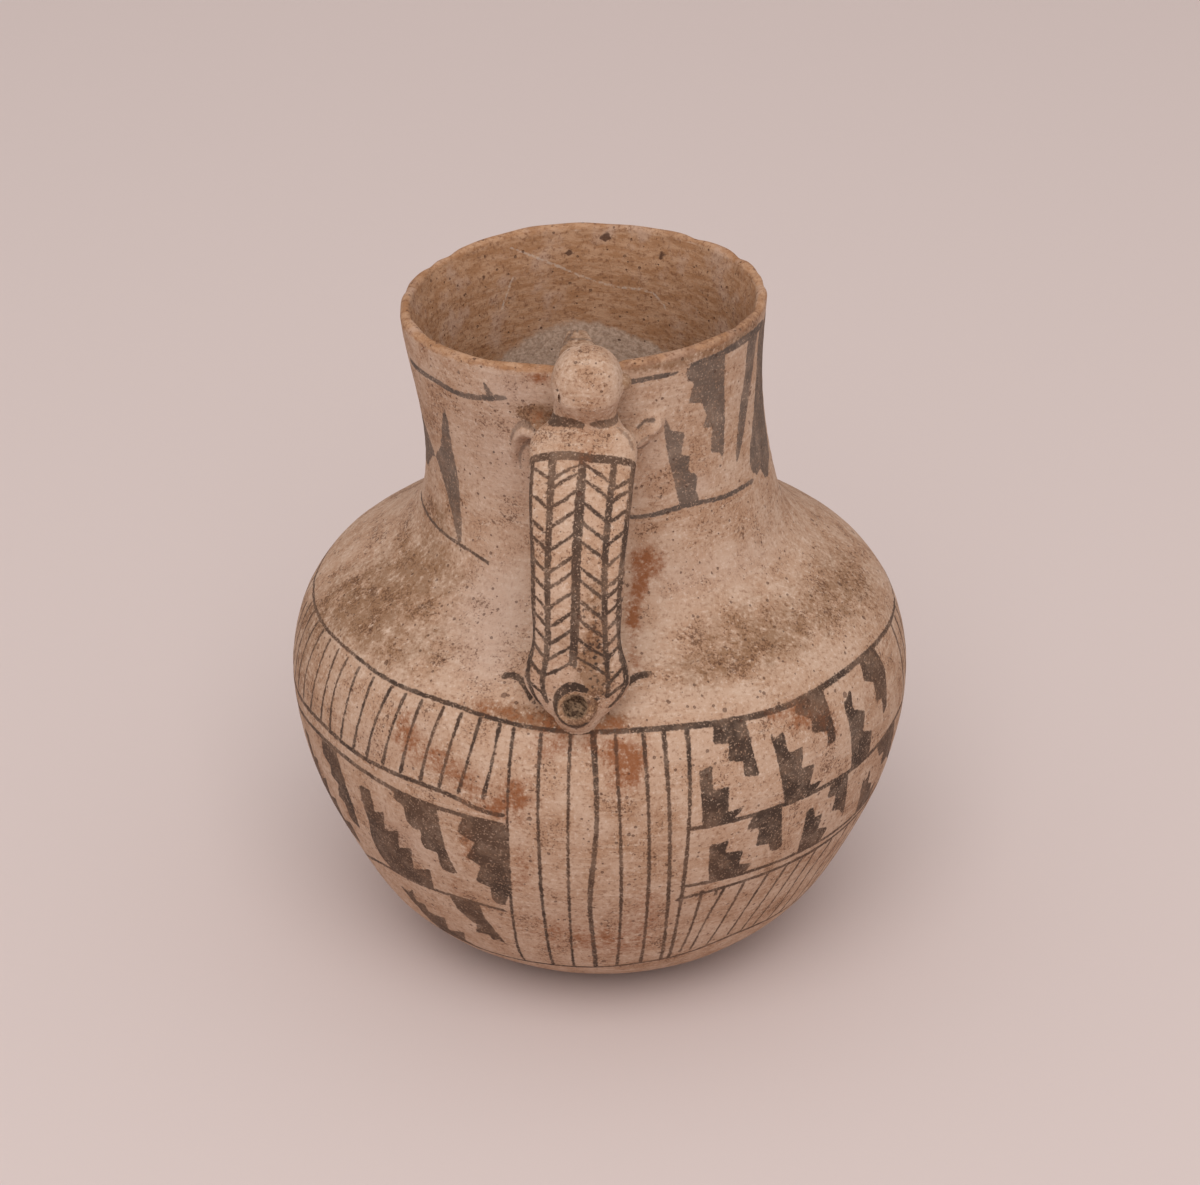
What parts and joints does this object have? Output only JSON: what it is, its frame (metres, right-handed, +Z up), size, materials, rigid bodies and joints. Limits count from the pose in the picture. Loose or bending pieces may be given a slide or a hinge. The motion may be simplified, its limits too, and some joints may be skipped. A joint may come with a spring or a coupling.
{
  "type": "pottery pitcher",
  "caption": "Painted earthenware pitcher with a round belly, a wide open neck and a strap handle modelled as an animal that looks over the rim.",
  "frame": {"origin": "middle of the flat underside, on the axis of the vessel's body", "axes": "+Z up through the mouth, -Y towards the animal handle at the front, +X to the right when facing the handle"},
  "size_m": [0.168, 0.17, 0.1952],
  "materials": {
    "slipped_clay": "matte, worn pale slip with dark mineral paint"
  },
  "bodies": {
    "root": {"pitcher": "slipped_clay"}
  },
  "joints": []
}
